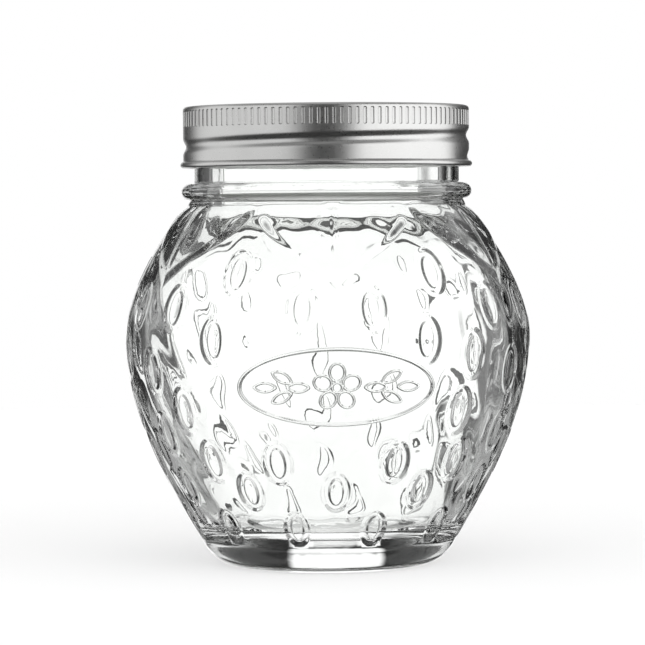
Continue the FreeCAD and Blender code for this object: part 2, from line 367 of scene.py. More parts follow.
@dataclass(frozen=True)
class Dimple:
    """An oval dimple with a seed left standing in it."""

    wall: WallOutline
    angle: float
    height: float
    size: float
    width: float = 7.4
    length: float = 12.0
    kernel_width: float = 3.8
    kernel_length: float = 8.4
    deepest: float = 0.4  # at the foot of the wall; the dimples get shallower towards the top
    fall: float = 0.22  # how much shallower over the whole body
    slope: float = 1.3  # width of the dimple's side
    seed_slope: float = 0.7  # width of the seed's side
    dome: float = 0.06  # how far a seed's middle stands above its shoulder
    crown: tuple[float, float] = (0.5, 0.6)  # shares of a seed's width and length, for a ring on it
    corners: int = 38
    lines: tuple[float, ...] = (-0.55, -0.38, -0.19, 0.0, 0.19, 0.38, 0.55)

    @property
    def depth(self) -> float:
        """How deep this dimple is."""
        return self.deepest - self.fall * self.height / self.wall.body_height

    def local(self, angle: np.ndarray, along: np.ndarray) -> tuple[np.ndarray, np.ndarray]:
        """Measures places from the dimple's middle.

        Args:
            angle: Angles round the axis, in radians.
            along: Distances along the wall.

        Returns:
            How far they lie to the right and above.
        """
        turn = (angle - math.radians(self.angle) + math.pi) % math.tau - math.pi
        return turn * self.wall.radius(along), along - float(self.wall.reach(self.height))

    def beyond(self, x: np.ndarray, y: np.ndarray, width: float, length: float) -> np.ndarray:
        """Distance outside an oval of a full-sized width and length, negative inside it."""
        return beyond_oval(x, y, width * self.size / 2, length * self.size / 2)

    def raise_at(self, angle: np.ndarray, along: np.ndarray) -> np.ndarray:
        """Measures the dimple and its seed.

        Args:
            angle: Angles round the axis, in radians.
            along: Distances along the wall.

        Returns:
            How far they move the wall outwards.
        """
        x, y = self.local(angle, along)
        outside = self.beyond(x, y, self.width, self.length)
        around = self.beyond(x, y, self.kernel_width, self.kernel_length)
        sunk = smooth(0.5 - outside / self.slope)
        stands = smooth(0.5 - around / self.seed_slope)
        crown = self.dome * smooth(-2.0 * around / (self.kernel_width * self.size))
        return -self.depth * sunk * (1.0 - stands) + crown

    def near(self, angle: np.ndarray, along: np.ndarray) -> np.ndarray:
        """Finds which places the dimple reaches.

        Args:
            angle: Angles round the axis, in radians.
            along: Distances along the wall.

        Returns:
            True for those.
        """
        x, y = self.local(angle, along)
        reach = self.size / 2 + self.slope
        return (np.abs(x) < self.width * reach) & (np.abs(y) < self.length * reach)

    def guides(self) -> Iterable[Guide]:
        """Lays rings of corners along the dimple's and the seed's sides.

        Yields:
            The corners of each ring.
        """
        ovals = (
            (self.width, self.length, self.slope),
            (self.kernel_width, self.kernel_length, self.seed_slope),
        )
        rings = [(w, n, offset * side) for w, n, side in ovals for offset in self.lines]
        rings += [(self.kernel_width * self.crown[0], self.kernel_length * self.crown[1], 0.0)]
        turns = np.arange(self.corners) * math.tau / self.corners
        for width, length, offset in rings:
            x = (width * self.size / 2 + offset) * np.cos(turns)
            y = (length * self.size / 2 + offset) * np.sin(turns)
            along = float(self.wall.reach(self.height)) + y
            yield np.column_stack([math.radians(self.angle) + x / self.wall.radius(along), along])


@dataclass(frozen=True)
class Calyx:
    """The ring of raised leaves round the shoulder, each with its midrib."""

    wall: WallOutline
    count: int = 6
    leaf_length: float = 18.5
    side: float = 7.8
    point: tuple[float, float] = (8.0, 7.7)
    rise: float = 0.42
    bevel: float = 2.8  # width over which the rise comes
    rib_rise: float = 0.2
    rib_width: float = 2.2
    rib_length: float = 16.6
    rib_fade: float = 3.0  # length over which a midrib rises
    edge_parts: int = 70
    spacing: float = 0.5
    lines: tuple[float, ...] = (-0.3, 0.0, 0.35, 0.75, 1.2, 1.7, 2.2, 2.6, 3.0)
    rib_lines: tuple[float, ...] = (-1.2, -0.8, -0.4, 0.0, 0.4, 0.8, 1.2)

    @property
    def sector(self) -> float:
        """The angle that one leaf takes, in radians."""
        return math.tau / self.count

    def edge(self) -> np.ndarray:
        """Draws a leaf's right edge.

        Returns:
            Rows of an angle from the midrib and a distance along the wall, from tip to notch.
        """
        wall = self.wall
        half = wall.shoulder_radius * math.sin(self.sector / 2)
        tip = (0.0, wall.body_height - self.leaf_length)
        notch = (half, wall.body_height)
        handles = (self.point[0], tip[1] + self.point[1]), (half, notch[1] - self.side)
        points = np.array(curve((tip, *handles, notch), self.edge_parts))
        along = wall.reach(points[:, 1])
        return np.column_stack([np.arcsin(points[:, 0] / wall.radius(along)), along])

    def inside(self, angle: np.ndarray, along: np.ndarray) -> np.ndarray:
        """Measures how far places lie inside a leaf.

        Args:
            angle: Angles round the axis, in radians.
            along: Distances along the wall.

        Returns:
            Distances from the nearest leaf's edge, negative outside it.
        """
        edge = self.edge()
        turn = np.abs((angle + self.sector / 2) % self.sector - self.sector / 2)
        radius = self.wall.radius(along)
        distance = np.full(len(angle), np.inf)
        for start, end in zip(edge, edge[1:]):
            run = (end[0] - start[0]) * radius, end[1] - start[1]
            off = (turn - start[0]) * radius, along - start[1]
            share = np.clip((off[0] * run[0] + off[1] * run[1]) / (run[0] ** 2 + run[1] ** 2), 0, 1)
            away = np.hypot(off[0] - share * run[0], off[1] - share * run[1])
            distance = np.minimum(distance, away)
        width = np.interp(along, edge[:, 1], edge[:, 0], left=-1.0)
        within = (turn < width) | (along > edge[-1, 1])
        return np.where(within, distance, -distance)

    def raise_at(self, angle: np.ndarray, along: np.ndarray) -> np.ndarray:
        """Measures the leaves and their midribs.

        Args:
            angle: Angles round the axis, in radians.
            along: Distances along the wall.

        Returns:
            How far they move the wall outwards.
        """
        inside = self.inside(angle, along)
        rise = self.rise * smooth(inside / self.bevel)
        turn = (angle + self.sector / 2) % self.sector - self.sector / 2
        across = np.abs(turn) * self.wall.radius(along)
        top = float(self.wall.reach(self.wall.body_height))
        foot = top - self.rib_length
        rib = self.rib_rise * smooth(1.0 - 2.0 * across / self.rib_width)
        rib *= smooth((along - foot) / self.rib_fade)
        fade = smooth((self.wall.length - along) / (self.wall.length - top))
        return (rise + rib) * fade

    def near(self, angle: np.ndarray, along: np.ndarray) -> np.ndarray:
        """True where the leaves reach."""
        tip = float(self.wall.reach(self.wall.body_height - self.leaf_length))
        return along > tip - self.spacing

    def guides(self) -> Iterable[Guide]:
        """Lays lines of corners along the edges and the midribs of the leaves.

        Yields:
            The corners of each line.
        """
        edge = self.edge()
        radius = self.wall.radius(edge[:, 1])
        place = np.column_stack([edge[:, 0] * radius, edge[:, 1]])
        lengths = np.concatenate([[0.0], np.cumsum(np.hypot(*np.diff(place, axis=0).T))])
        stops = np.arange(0.0, lengths[-1], self.spacing)
        line = np.column_stack([np.interp(stops, lengths, place[:, i]) for i in (0, 1)])
        run = np.gradient(line, axis=0)
        run /= np.hypot(run[:, 0], run[:, 1])[:, None]
        inward = np.column_stack([-run[:, 1], run[:, 0]])
        top = self.wall.length - self.spacing
        for offset in self.lines:
            moved = line + inward * offset
            moved = moved[(moved[:, 0] > 0) & (moved[:, 1] < top)]
            turn = moved[:, 0] / self.wall.radius(moved[:, 1])
            held = turn < self.sector / 2
            for side in (-1, 1):
                for leaf in range(self.count):
                    angle = leaf * self.sector + side * turn[held]
                    yield np.column_stack([angle, moved[held, 1]])
        foot = float(self.wall.reach(self.wall.body_height)) - self.rib_length
        stops = np.arange(foot - self.spacing, top, self.spacing)
        for offset in self.rib_lines:
            for leaf in range(self.count):
                angle = leaf * self.sector + offset / self.wall.radius(stops)
                yield np.column_stack([angle, stops])


class MarkShape(Enum):
    """The outline of one mark on the front."""

    OVAL = "oval"
    LEAF = "leaf"


@dataclass(frozen=True)
class Mark:
    """A raised line on the front: the outline of an oval or of a pointed leaf."""

    wall: WallOutline
    across: float
    up: float
    width: float
    length: float
    tilt: float = 0.0
    shape: MarkShape = MarkShape.OVAL
    bead: float = 0.9
    rise: float = 0.4
    steepness: float = 2.7  # of the line's sides: its whole width over the width of a side
    spacing: float = 0.5
    least_corners: int = 6
    lines: tuple[float, ...] = (-0.6, -0.4, -0.2, 0.0, 0.2, 0.4, 0.6)

    def local(self, angle: np.ndarray, along: np.ndarray) -> tuple[np.ndarray, np.ndarray]:
        """Measures places from the mark's middle.

        Args:
            angle: Angles round the axis, in radians.
            along: Distances along the wall.

        Returns:
            How far they lie across it and along its length.
        """
        turn = (angle + math.pi) % math.tau - math.pi
        x = np.sin(turn) * self.wall.radius(along) - self.across
        y = along - float(self.wall.reach(self.up))
        lean = math.radians(self.tilt)
        return (
            x * math.cos(lean) + y * math.sin(lean),
            y * math.cos(lean) - x * math.sin(lean),
        )

    def beyond(self, x: np.ndarray, y: np.ndarray) -> np.ndarray:
        """Measures how far places lie outside the outline.

        Args:
            x: Places across the mark.
            y: Places along its length.

        Returns:
            Distances from the outline, negative inside it.
        """
        half, tall = self.width / 2, self.length / 2
        if self.shape is MarkShape.LEAF:
            radius = (half**2 + tall**2) / (2 * half)
            return np.hypot(np.abs(x) + radius - half, y) - radius
        return beyond_oval(x, y, half, tall)

    def raise_at(self, angle: np.ndarray, along: np.ndarray) -> np.ndarray:
        """How far the line stands out of the wall."""
        distance = np.abs(self.beyond(*self.local(angle, along)))
        return self.rise * smooth(self.steepness * (0.5 - distance / self.bead))

    def near(self, angle: np.ndarray, along: np.ndarray) -> np.ndarray:
        """Finds which places the mark reaches.

        Args:
            angle: Angles round the axis, in radians.
            along: Distances along the wall.

        Returns:
            True for those.
        """
        x, y = self.local(angle, along)
        front = np.cos(angle) > 0
        return front & (np.hypot(x, y) < max(self.width, self.length) / 2 + self.bead)

    def guides(self) -> Iterable[Guide]:
        """Lays lines of corners beside the outline.

        Yields:
            The corners of each line.
        """
        around = math.pi * (self.width + self.length) / 2
        turns = np.arange(round(around / self.spacing)) * math.tau / round(around / self.spacing)
        half, tall = self.width / 2, self.length / 2
        middle = float(self.wall.reach(self.up))
        lean = math.radians(self.tilt)
        for line in self.lines:
            offset = line * self.bead
            if self.shape is MarkShape.LEAF:
                radius = (half**2 + tall**2) / (2 * half)
                open_angle = math.asin(min(1.0, tall / radius))
                parts = max(self.least_corners, round(len(turns) / 2))
                sweep = np.linspace(-open_angle, open_angle, parts)
                side = (radius + offset) * np.cos(sweep) - radius + half
                x = np.concatenate([side, -side])
                y = np.tile((radius + offset) * np.sin(sweep), 2)
            else:
                x, y = (half + offset) * np.cos(turns), (tall + offset) * np.sin(turns)
            across = self.across + x * math.cos(lean) - y * math.sin(lean)
            along = middle + y * math.cos(lean) + x * math.sin(lean)
            yield np.column_stack([np.arcsin(across / self.wall.radius(along)), along])


Relief = Dimple | Calyx | Mark


@dataclass(frozen=True)
class Grain:
    """An even, directionless unevenness of a finish, which stays with the piece."""

    size: float  # width of a grain
    depth: float = 0.0
    share: float = 0.0  # of the depth, that shows
    swing: float = 0.0  # how far the roughness goes either way with it
    detail: float = 2.0  # how many finer grains lie in it

    def height(self, tree: bpy.types.NodeTree) -> bpy.types.NodeSocket:
        """Adds the grain's height.

        Args:
            tree: The finish's node tree.

        Returns:
            The height, from 0 to 1.
        """
        place = add_node(tree, "ShaderNodeTexCoord")
        noise = add_node(
            tree,
            "ShaderNodeTexNoise",
            values={"Scale": 1 / (self.size * MM), "Detail": self.detail},
            links={"Vector": place.outputs["Object"]},
        )
        return noise.outputs[0]

    def skin(self, tree: bpy.types.NodeTree, roughness: float) -> dict[str, bpy.types.NodeSocket]:
        """Adds what the grain does to the skin of a finish.

        Args:
            tree: The finish's node tree.
            roughness: The finish's own roughness.

        Returns:
            What feeds the shader's normal and, if the grain moves it, its roughness.
        """
        height = self.height(tree)
        bump = add_node(
            tree,
            "ShaderNodeBump",
            values={"Strength": self.share, "Distance": self.depth * MM},
            links={"Height": height},
        )
        skin = {"Normal": bump.outputs[0]}
        if self.swing:
            rough = add_node(
                tree,
                "ShaderNodeMapRange",
                values={
                    "From Min": NOISE_ENDS[0],
                    "From Max": NOISE_ENDS[1],
                    "To Min": roughness - self.swing,
                    "To Max": roughness + self.swing,
                },
                links={"Value": height},
            )
            skin["Roughness"] = rough.outputs[0]
        return skin


@dataclass(frozen=True)
class ClearGlass:
    """Flint soda-lime container glass, blown in a mould: clear, with a fire-polished gloss."""

    tint: str = "#FCFDFC"
    ior: float = 1.5
    roughness: float = 0.0
    # The mould chills the skin into a faint orange peel.
    chill: Grain = Grain(4.0, depth=0.03, share=0.3)

    def material(self) -> bpy.types.Material:
        """The finish as a material.

        Returns:
            Clear glass that bends what is seen through it.
        """
        material, tree = fresh_material("flint_soda_lime_glass")
        shader = add_node(
            tree,
            "ShaderNodeBsdfPrincipled",
            values={
                "Base Color": linear(self.tint),
                "Roughness": self.roughness,
                "IOR": self.ior,
                "Transmission Weight": 1.0,
            },
            links=self.chill.skin(tree, self.roughness),
        )
        add_node(tree, "ShaderNodeOutputMaterial", links={"Surface": shader.outputs[0]})
        return material


@dataclass(frozen=True)
class SatinTinplate:
    """Tinplate rolled to a stone finish and left bare: a soft metal with blurred reflections."""

    name: str = "stone_finish_tinplate"
    colour: str = "#CFCFCE"
    worn: str = "#C6C6C5"  # handling dulls the tin in soft patches
    roughness: float = 0.3
    # The rolls' own stone grain is finer, and this one is as coarse as it needs to be to show.
    stone: Grain = Grain(0.5, depth=0.006, share=0.5, swing=0.03)
    patches: Grain = Grain(14.0)

    def material(self) -> bpy.types.Material:
        """The finish as a material.

        Returns:
            Satin metal.
        """
        material, tree = fresh_material(self.name)
        worn = add_node(
            tree,
            "ShaderNodeMapRange",
            values={"From Min": NOISE_ENDS[0], "From Max": NOISE_ENDS[1]},
            links={"Value": self.patches.height(tree)},
        )
        colour = add_node(
            tree,
            "ShaderNodeMix",
            {"data_type": "RGBA"},
            {6: linear(self.colour), 7: linear(self.worn)},
            {0: worn.outputs[0]},
        )
        shader = add_node(
            tree,
            "ShaderNodeBsdfPrincipled",
            values={"Metallic": 1.0},
            links={"Base Color": colour.outputs[2], **self.stone.skin(tree, self.roughness)},
        )
        add_node(tree, "ShaderNodeOutputMaterial", links={"Surface": shader.outputs[0]})
        return material


@dataclass(frozen=True)
class SealCompound:
    """Plastisol sealing compound, flowed in and cured: a dull, off-white rubbery ring."""

    colour: str = "#C9C5BC"
    roughness: float = 0.65
    cured: Grain = Grain(0.8, depth=0.02, share=0.6, swing=0.08)  # its skin is slightly uneven

    def material(self) -> bpy.types.Material:
        """The finish as a material.

        Returns:
            Matt rubber.
        """
        material, tree = fresh_material("cured_plastisol")
        shader = add_node(
            tree,
            "ShaderNodeBsdfPrincipled",
            values={"Base Color": linear(self.colour)},
            links=self.cured.skin(tree, self.roughness),
        )
        add_node(tree, "ShaderNodeOutputMaterial", links={"Surface": shader.outputs[0]})
        return material


@dataclass(frozen=True)
class GlassJar:
    """The glass body: outer wall with its relief, neck, rim, hollow inside and foot."""

    wall: WallOutline = field(default_factory=WallOutline)
    columns: int = 160
    # outside, above the wall
    bead_radius: float = 36.5
    neck_radius: float = 33.35
    neck_length: float = 17.67
    mouth_radius: float = 30.2
    rim_round: float = 0.8
    bead_steps: int = 14
    rim_steps: int = 4
    root_step: float = 0.5
    neck_step: float = 0.4
    rim_step: float = 0.8
    mouth_step: float = 1.5
    # inside
    thickness: float = 5.0
    floor_thickness: float = 7.5
    floor_corner: float = 10.0
    ripple: float = 0.03  # height of each of the waves that the inside was left with
    ripple_count: int = 10
    ripple_lengths: tuple[float, float] = (6.0, 16.0)
    ripple_radius: float = 45.0  # where a wave has its full length round the axis
    calm_height: float = 9.0  # the floor of the inside is even up to here
    swell_share: float = 0.5  # of a dimple's depth, behind it
    swell_reach: float = 0.6  # of a dimple's width and length
    inner_handle_down: float = 13.0
    inner_handle_up: float = 24.0
    inner_mouth_handle: float = 6.0
    inner_steps: tuple[int, int, int] = (40, 36, 10)
    floor_step: float = 2.0
    # foot
    standing_radius: float = 24.3
    standing_width: float = 2.0
    standing_handle: float = 1.0
    heel_handle: float = 6.55
    push_up: float = 2.6
    push_up_radius: float = 17.0
    ledge: float = 0.35  # the base mould's band stands back this far from the body
    heel_steps: int = 16
    stand_step: float = 0.7
    hollow_step: float = 0.8
    base_step: float = 2.5
    # thread on the neck
    thread_pitch: float = 4.7
    thread_rise: float = 1.0
    thread_width: float = 2.6
    thread_start: float = 101.2
    thread_turns: float = 1.35
    thread_end: float = 0.06  # share of a turn over which each end rises
    # seeds: share of the body height, angles within one leaf's sector, share of the full size
    seed_rows: tuple[tuple[float, tuple[float, ...], float], ...] = (
        (0.837, (30.0,), 1.0),
        (0.742, (-9.5, 9.5), 1.0),
        (0.657, (25.2,), 1.0),
        (0.612, (-18.7,), 1.0),
        (0.563, (0.0,), 1.0),
        (0.458, (-22.0, 12.0), 1.0),
        (0.388, (0.0,), 0.95),
        (0.321, (-18.5, 18.5), 0.95),
        (0.240, (0.0, 30.0), 0.88),
        (0.135, (-15.0, 15.0), 0.78),
    )
    # oval frame on the front
    frame_width: float = 46.0
    frame_length: float = 18.4
    frame_share: float = 0.532
    frame_bead: float = 1.0
    frame_rise: float = 0.5
    fine_bead: float = 0.7  # width of the lines of the blossom and the sprigs
    blossom_eye: float = 2.4
    petal_count: int = 5
    petal_reach: float = 3.6
    petal_size: tuple[float, float] = (3.6, 4.2)
    sprig_leaf: tuple[float, float] = (2.2, 5.2)
    # each leaf of a sprig: how far to the side, how far up, and its lean
    sprig: tuple[tuple[float, float, float], ...] = (
        (9.2, 0.0, 90),
        (13.0, 2.4, 62),
        (13.0, -2.4, 118),
        (17.0, 0.0, 90),
    )
    # mesh
    grid: float = 2.0  # spacing of the corners on the plain wall
    clear: float = 0.9  # a corner on the plain wall stays this far from a guide
    nudge: float = 0.002  # keeps four corners from lying on one circle
    overlap: float = 12.0  # angle by which the flat development runs past its seam
    slope_step: float = 0.03  # over which the relief's slope is measured
    seed: int = 4

    def dimples(self) -> list[Dimple]:
        """Places every seed, without those that the oval frame takes the place of.

        Returns:
            The dimples with their seeds.
        """
        frame_height = self.frame_share * self.wall.body_height
        half_width = (self.frame_width + Dimple.width) / 2
        half_length = (self.frame_length + Dimple.length) / 2
        found = []
        for share, angles, size in self.seed_rows:
            height = share * self.wall.body_height
            radius = float(self.wall.radius(self.wall.reach(height)))
            for sector in range(Calyx.count):
                for offset in angles:
                    whole = sector * FULL_TURN / Calyx.count + offset
                    angle = (whole + FULL_TURN / 2) % FULL_TURN - FULL_TURN / 2
                    across = radius * math.radians(angle) / half_width
                    along = (height - frame_height) / half_length
                    if math.hypot(across, along) > 1:
                        found.append(Dimple(self.wall, angle, height, size))
        return found

    def marks(self) -> list[Mark]:
        """Draws the oval frame, with a five-petalled blossom and two sprigs in it.

        Returns:
            The marks.
        """
        wall, fine = self.wall, self.fine_bead
        up = self.frame_share * wall.body_height
        found = [
            Mark(
                wall,
                0,
                up,
                self.frame_width,
                self.frame_length,
                bead=self.frame_bead,
                rise=self.frame_rise,
            ),
            Mark(wall, 0, up, self.blossom_eye, self.blossom_eye, bead=fine),
        ]
        for petal in range(self.petal_count):
            tilt = FULL_TURN / self.petal_count * petal
            turn = math.radians(tilt)
            across, rise = -self.petal_reach * math.sin(turn), self.petal_reach * math.cos(turn)
            found.append(Mark(wall, across, up + rise, *self.petal_size, tilt=tilt, bead=fine))
        shape = MarkShape.LEAF
        for side in (-1, 1):
            for place, height, lean in self.sprig:
                leaf = side * place, up + height, *self.sprig_leaf
                found.append(Mark(wall, *leaf, tilt=-side * lean, shape=shape, bead=fine))
        return found

    def relief(self) -> list[Relief]:
        """Everything that stands out of the wall or is sunk in it."""
        return [Calyx(self.wall), *self.dimples(), *self.marks()]

    def raised(
        self, features: Sequence[Relief], angle: np.ndarray, along: np.ndarray
    ) -> np.ndarray:
        """Adds the relief up.

        Args:
            features: The relief.
            angle: Angles round the axis, in radians.
            along: Distances along the wall.

        Returns:
            How far it moves the wall outwards.
        """
        total = np.zeros_like(angle)
        marks = np.zeros_like(angle)
        for feature in features:
            near = feature.near(angle, along)
            if near.any():
                rise = feature.raise_at(angle[near], along[near])
                if isinstance(feature, Mark):
                    marks[near] = np.maximum(marks[near], rise)
                else:
                    total[near] += rise
        return total + marks

    def corners(self, features: Sequence[Relief]) -> np.ndarray:
        """Where the outer wall gets its corners: close along the relief and even elsewhere.

        Args:
            features: The relief.

        Returns:
            Rows of an angle in radians and a distance along the wall. The lowest and the highest
            row come first and match the columns of the turned parts.
        """
        wall = self.wall
        draw = random.Random(self.seed)
        turns = np.arange(self.columns) * math.tau / self.columns - math.pi
        ends = [np.column_stack([turns, np.full(self.columns, y)]) for y in (0.0, wall.length)]
        guides = np.concatenate([g for feature in features for g in feature.guides()])
        guides[:, 0] = (guides[:, 0] + math.pi) % math.tau - math.pi
        margin = self.clear / 2
        guides = guides[(guides[:, 1] > margin) & (guides[:, 1] < wall.length - margin)]
        taken: dict[tuple[int, int], list[tuple[float, float]]] = {}
        for turn, along in guides:
            across = turn * float(wall.radius(along))
            cell = int(across // self.clear), int(along // self.clear)
            taken.setdefault(cell, []).append((across, along))
        plain = []
        rows = round(wall.length / self.grid)
        for row in range(1, rows):
            along = wall.length * row / rows
            radius = float(wall.radius(along))
            parts = round(math.tau * radius / self.grid)
            for part in range(parts):
                turn = math.tau * (part + 0.5 * (row % 2)) / parts - math.pi
                across = turn * radius
                cell = int(across // self.clear), int(along // self.clear)
                around = [
                    place
                    for i in (-1, 0, 1)
                    for j in (-1, 0, 1)
                    for place in taken.get((cell[0] + i, cell[1] + j), ())
                ]
                if all(math.dist(place, (across, along)) > self.clear for place in around):
                    plain.append((turn, along))
        inner = np.concatenate([guides, np.array(plain)])
        nudges = np.array([[draw.uniform(-1, 1), draw.uniform(-1, 1)] for _ in inner])
        inner += nudges * [self.nudge / wall.belly_radius, self.nudge]
        return np.concatenate([*ends, inner])

    def outer_wall(self, mesh: bmesh.types.BMesh, features: Sequence[Relief]) -> None:
        """Adds the outer wall with its relief, as one closed band of triangles.

        No operator presses this many ovals into a curved wall, so the corners are placed along the
        relief's own lines and joined on the flat development of the wall.

        Args:
            mesh: The mesh that the band is added to.
            features: The relief.
        """
        wall = self.wall
        places = self.corners(features)
        count = len(places)
        overlap = math.radians(self.overlap)
        index = np.arange(count)
        right, left = places[:, 0] > math.pi - overlap, places[:, 0] < overlap - math.pi
        flat = np.concatenate([places, places[right] - [math.tau, 0], places[left] + [math.tau, 0]])
        source = np.concatenate([index, index[right], index[left]])
        coords = [Vector((x * wall.belly_radius, y)) for x, y in flat]
        spots, _, faces, origins, *_ = delaunay_2d_cdt(coords, [], [], 0, TINY)
        origin = [source[o[0]] for o in origins]
        limit = math.pi * wall.belly_radius
        angle, along = places[:, 0], places[:, 1]
        raised = self.raised(features, angle, along)
        step = self.slope_step
        radius = wall.radius(along)
        turn = step / radius
        beside = (angle + turn, along), (angle - turn, along)
        upright = (angle, along + step), (angle, along - step)
        right_of, left_of = (self.raised(features, *place) for place in beside)
        above, below = (self.raised(features, *place) for place in upright)
        tilt_x, tilt_y = (right_of - left_of) / (2 * step), (above - below) / (2 * step)
        out, up = wall.normal(along)
        distance = radius + raised * out
        height = wall.height(along) + raised * up
        sine, cosine = np.sin(angle), np.cos(angle)
        points = np.column_stack([distance * sine, -distance * cosine, height]) * MM
        normals = np.column_stack(
            [
                out * sine - tilt_x * cosine + tilt_y * up * sine,
                -out * cosine - tilt_x * sine - tilt_y * up * cosine,
                up - tilt_y * out,
            ]
        )
        normals /= np.linalg.norm(normals, axis=1)[:, None]
        layer = mesh.verts.layers.float_vector["true_normal"]
        verts = []
        for place, (point, normal) in enumerate(zip(points, normals)):
            vert = mesh.verts.new(point)
            if place >= 2 * self.columns:  # the end rows also belong to the turned parts
                vert[layer] = normal
            verts.append(vert)
        for face in faces:
            middle = sum(spots[i].x for i in face) / 3
            if -limit <= middle < limit:
                chosen = [origin[i] for i in face]
                if len(set(chosen)) == 3:
                    mesh.faces.new([verts[i] for i in chosen])

    def upper_outline(self) -> Profile:
        """Draws the glass from the wall's top over the bead, neck and rim to the floor inside.

        Returns:
            Radius and height of each point.
        """
        wall = self.wall
        root = (wall.root_radius, wall.body_height + wall.root_rise)
        section = self.bead_radius - wall.root_radius
        bead_height = root[1] + section
        rim = bead_height + section + self.neck_length
        neck_foot = (self.neck_radius, bead_height + section)
        mouth_foot = (self.mouth_radius, bead_height - section)
        soft = self.rim_round
        belly = (wall.belly_radius - self.thickness, wall.belly_height)
        floor_height = self.push_up + self.floor_thickness
        reach = wall.reach(floor_height + self.floor_corner)
        out, up = (float(part) for part in wall.normal(reach))
        foot_out = float(wall.radius(reach)) - out * self.thickness
        foot_up = float(wall.height(reach)) - up * self.thickness
        floor_edge = (foot_out - self.floor_corner, floor_height)
        down, half = self.inner_handle_down, self.floor_corner / 2
        throat = (
            mouth_foot,
            (mouth_foot[0], mouth_foot[1] - self.inner_mouth_handle),
            (belly[0], belly[1] + self.inner_handle_up),
            belly,
        )
        side = (
            belly,
            (belly[0], belly[1] - down),
            (foot_out - up * down, foot_up + out * down),
            (foot_out, foot_up),
        )
        corner = (
            (foot_out, foot_up),
            (foot_out + up * half, foot_up - out * half),
            (floor_edge[0] + half, floor_edge[1]),
            floor_edge,
        )
        outer, inner = self.neck_radius - soft, self.mouth_radius + soft
        inner_curves = zip((throat, side, corner), self.inner_steps)
        return joined(
            arc((root[0], bead_height), section, -90, 90, self.bead_steps),
            straight((root[0], bead_height + section), neck_foot, self.root_step),
            straight(neck_foot, (self.neck_radius, rim - soft), self.neck_step),
            arc((outer, rim - soft), soft, 0, 90, self.rim_steps),
            straight((outer, rim), (inner, rim), self.rim_step),
            arc((inner, rim - soft), soft, 90, 180, self.rim_steps),
            straight((self.mouth_radius, rim - soft), mouth_foot, self.mouth_step),
            *(curve(knots, steps) for knots, steps in inner_curves),
            straight(floor_edge, (0.0, floor_height), self.floor_step),
        )

    def foot_outline(self) -> Profile:
        """Draws the glass from the bottom of the wall round the foot to the middle of the base.

        Returns:
            Radius and height of each point.
        """
        wall = self.wall
        stand = self.standing_radius
        ledge = (wall.heel_radius - self.ledge, wall.heel_height - self.ledge)
        heel = (
            ledge,
            (ledge[0] - wall.foot_flare * self.heel_handle, ledge[1] - self.heel_handle),
            (stand + self.standing_handle, 0.0),
            (stand, 0.0),
        )
        edge, hollow = (stand - self.standing_width, 0.0), (self.push_up_radius, self.push_up)
        return joined(
            [(wall.heel_radius, wall.heel_height)],
            curve(heel, self.heel_steps),
            straight((stand, 0.0), edge, self.stand_step),
            straight(edge, hollow, self.hollow_step),
            straight(hollow, (0.0, self.push_up), self.base_step),
        )

    def ripple_inside(self, mesh: bmesh.types.BMesh, features: Sequence[Relief]) -> None:
        """Leaves the inside uneven, as blown glass is: with waves and swellings behind the dimples.

        Args:
            mesh: The turned glass, before it is joined to the wall.
            features: The relief on the outside.
        """
        draw = random.Random(self.seed)
        places = np.array([vert.co for vert in mesh.verts]) / MM
        angle = np.arctan2(places[:, 0], -places[:, 1])
        radius = np.hypot(places[:, 0], places[:, 1])
        along = self.wall.reach(places[:, 2])
        out, up = self.wall.normal(along)
        inside = radius < self.wall.radius(along) - self.thickness / 2
        inside &= places[:, 2] > self.push_up + self.floor_thickness / 2
        neck = places[:, 2] > self.wall.body_height
        inside = np.where(neck, radius < (self.neck_radius + self.mouth_radius) / 2, inside)
        rise = np.zeros(len(places))
        for _ in range(self.ripple_count):
            length = draw.uniform(*self.ripple_lengths)
            lean, phase = draw.uniform(0, math.tau), draw.uniform(0, math.tau)
            turns = round(math.cos(lean) * math.tau * self.ripple_radius / length)
            climb = math.sin(lean) * math.tau / length
            rise += self.ripple * np.sin(turns * angle + climb * along + phase)
        for dimple in features:
            if isinstance(dimple, Dimple):
                x, y = dimple.local(angle, along)
                reach = self.swell_reach * dimple.size
                share = np.hypot(x / dimple.width, y / dimple.length) / reach
                rise -= self.swell_share * dimple.depth * np.exp(-2 * share**2)
        rise *= smooth((places[:, 2] - self.calm_height) / self.calm_height)
        facing = np.column_stack([out * np.sin(angle), -out * np.cos(angle), up])
        moves = facing * rise[:, None] * MM
        for vert, move, held in zip(mesh.verts, moves, inside):
            if held:
                vert.co += Vector(move)

    def cut_thread(self, mesh: bmesh.types.BMesh) -> None:
        """Raises the screw thread on the neck.

        Args:
            mesh: The turned glass, before it is joined to the wall.
        """
        inner = (self.neck_radius + self.mouth_radius) / 2
        for vert in mesh.verts:
            x, y, z = (part / MM for part in vert.co)
            radius = math.hypot(x, y)
            if radius < inner or z < self.thread_start - self.thread_width:
                continue
            angle = math.degrees(math.atan2(x, -y)) % FULL_TURN
            for turn in range(math.ceil(self.thread_turns) + 1):
                share = angle / FULL_TURN + turn
                middle = self.thread_start + self.thread_pitch * share
                if share > self.thread_turns:
                    break
                ends = min(1.0, min(share, self.thread_turns - share) / self.thread_end)
                offset = abs(z - middle) / (self.thread_width / 2)
                if offset < 1:
                    rise = self.thread_rise * ends * (0.5 + 0.5 * math.cos(math.pi * offset))
                    vert.co.x *= (radius + rise) / radius
                    vert.co.y *= (radius + rise) / radius
                    break

